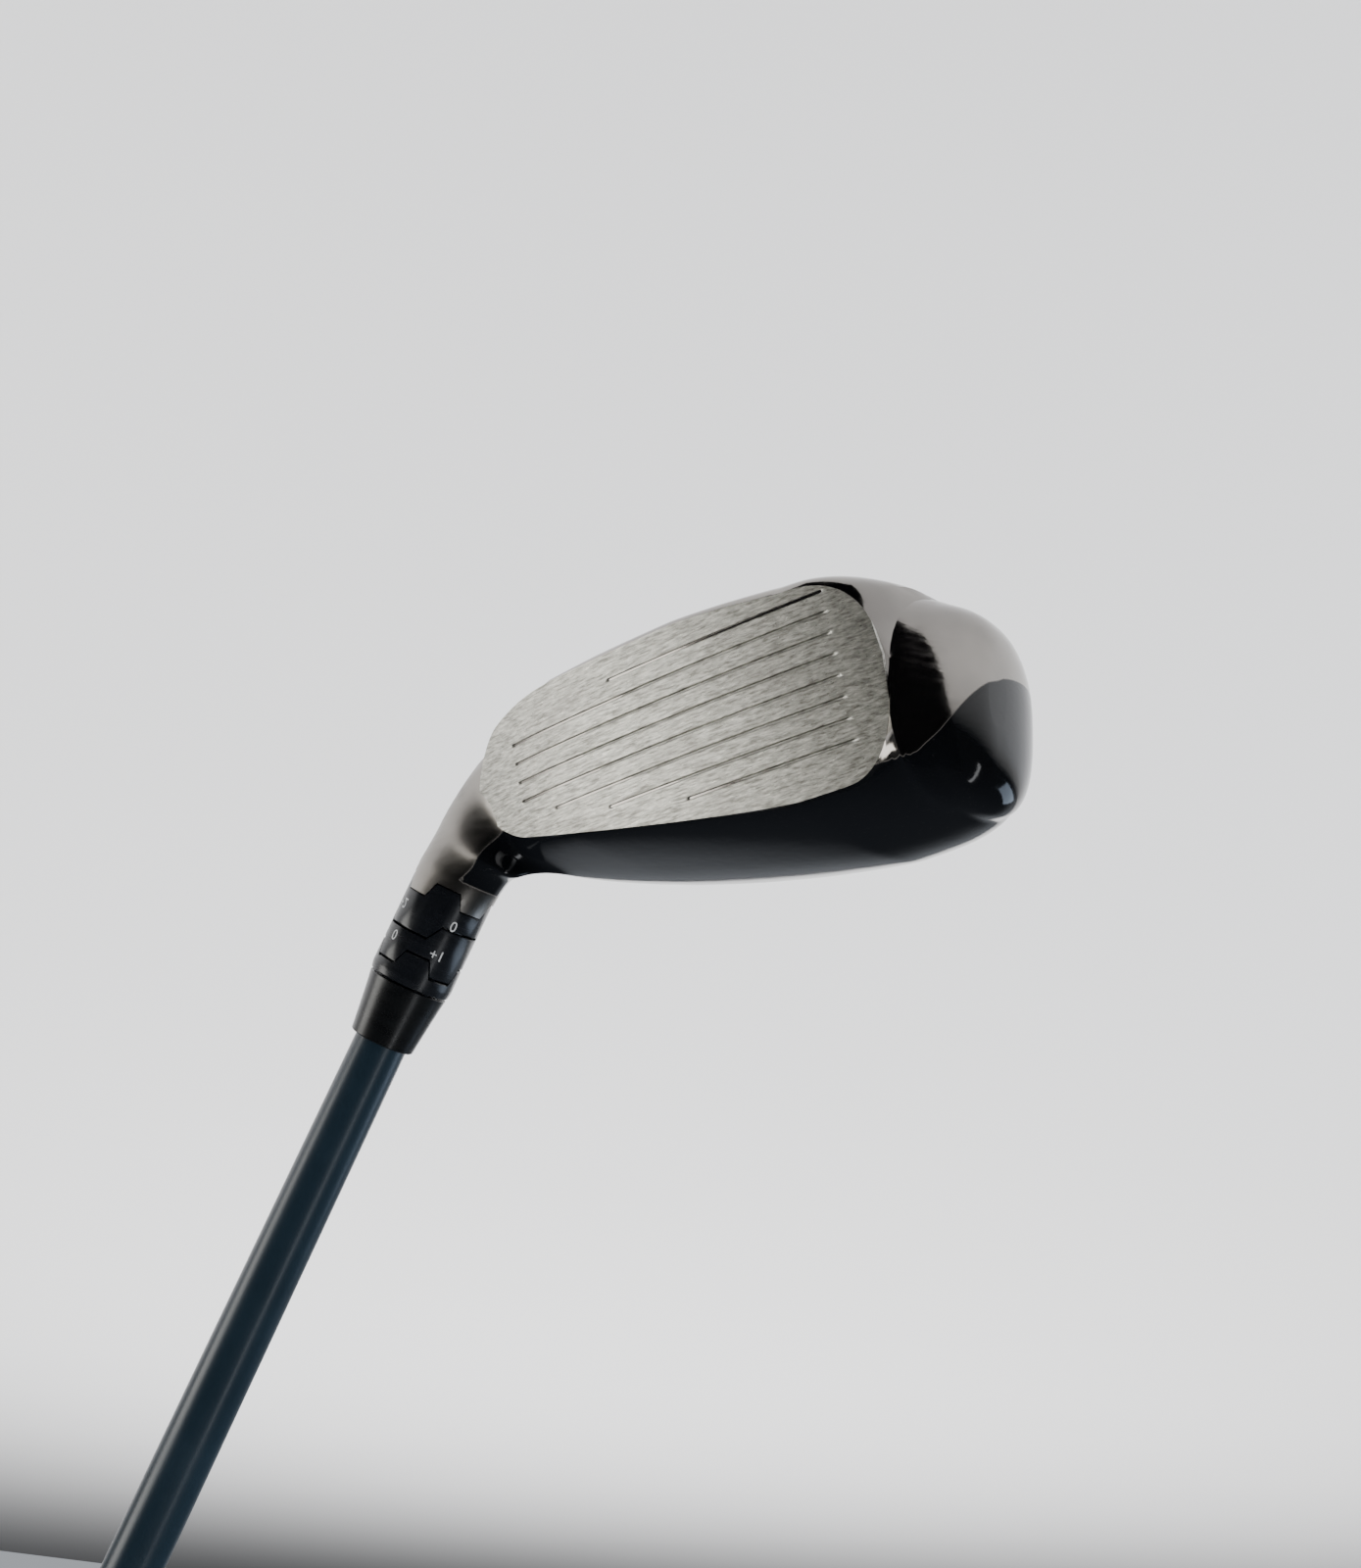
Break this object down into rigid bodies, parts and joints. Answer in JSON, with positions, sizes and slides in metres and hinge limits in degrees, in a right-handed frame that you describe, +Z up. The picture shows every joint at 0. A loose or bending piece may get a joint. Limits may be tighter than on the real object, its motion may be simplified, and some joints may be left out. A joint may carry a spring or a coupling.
{
  "type": "hybrid_golf_club",
  "caption": "Right-handed adjustable hybrid golf club: hollow steel head with a black crown, grooved face, clocking cogs on the hosel, shaft and grip",
  "frame": {"origin": "on the shaft axis, in the middle of the grip where the hands hold the club at address", "axes": "+Z up from the ground; -Y the way the face points; -X towards the toe, +X the way the shaft leans up to the grip"},
  "size_m": [0.6255, 0.0512, 0.8635],
  "materials": {
    "polished_steel": "polished, slightly worn",
    "brushed_steel": "brushed across the face",
    "black_lacquer": "gloss black",
    "dark_anodised": "satin dark grey anodised",
    "black_plastic": "satin black",
    "shaft_lacquer": "satin dark slate over a steel tube",
    "dark_steel": "dark zinc",
    "rubber": "matte black",
    "tape": "pale paper tape",
    "tungsten": "dull grey"
  },
  "bodies": {
    "head": {"head_body": "polished_steel", "crown": "black_lacquer", "face_plate": "brushed_steel", "weight_seal": "rubber", "weight_port": "dark_steel", "screw_washer": "dark_steel", "screw_retainer": "rubber"},
    "weight_screw": {"weight_screw": "tungsten"},
    "hosel_screw": {"hosel_screw": "dark_steel"},
    "shaft_assembly": {"adapter_sleeve": "dark_anodised", "sleeve_insert": "dark_steel", "ferrule": "black_plastic", "shaft": "shaft_lacquer", "tip_plug": "tungsten", "butt_plug": "black_plastic", "grip_tape": "tape", "grip": "rubber", "grip_cap": "rubber"},
    "upper_cog": {"upper_cog": "dark_anodised"},
    "lower_cog": {"lower_cog": "dark_anodised"}
  },
  "joints": [
    {"name": "weight_turn", "type": "hinge", "parent": "head", "child": "weight_screw", "pos_m": [-0.49619, 0.018, -0.73457], "axis": [0, 0, 1], "continuous": true},
    {"name": "hosel_screw_turn", "type": "hinge", "parent": "head", "child": "hosel_screw", "pos_m": [-0.44703, 0, -0.73235], "axis": [0.521, 0, 0.8536], "continuous": true},
    {"name": "shaft_pull", "type": "slide", "parent": "head", "child": "shaft_assembly", "axis": [0.521, 0, 0.8536], "range_m": [0, 0.045]},
    {"name": "upper_cog_slip", "type": "slide", "parent": "shaft_assembly", "child": "upper_cog", "axis": [-0.521, 0, -0.8536], "range_m": [0, 0.0032]},
    {"name": "lower_cog_slip", "type": "slide", "parent": "upper_cog", "child": "lower_cog", "axis": [-0.521, 0, -0.8536], "range_m": [0, 0.0032]}
  ],
  "couplings": [
    {"joint": "upper_cog_slip", "follows": "shaft_pull", "ratio": 0.07},
    {"joint": "lower_cog_slip", "follows": "shaft_pull", "ratio": 0.07}
  ]
}
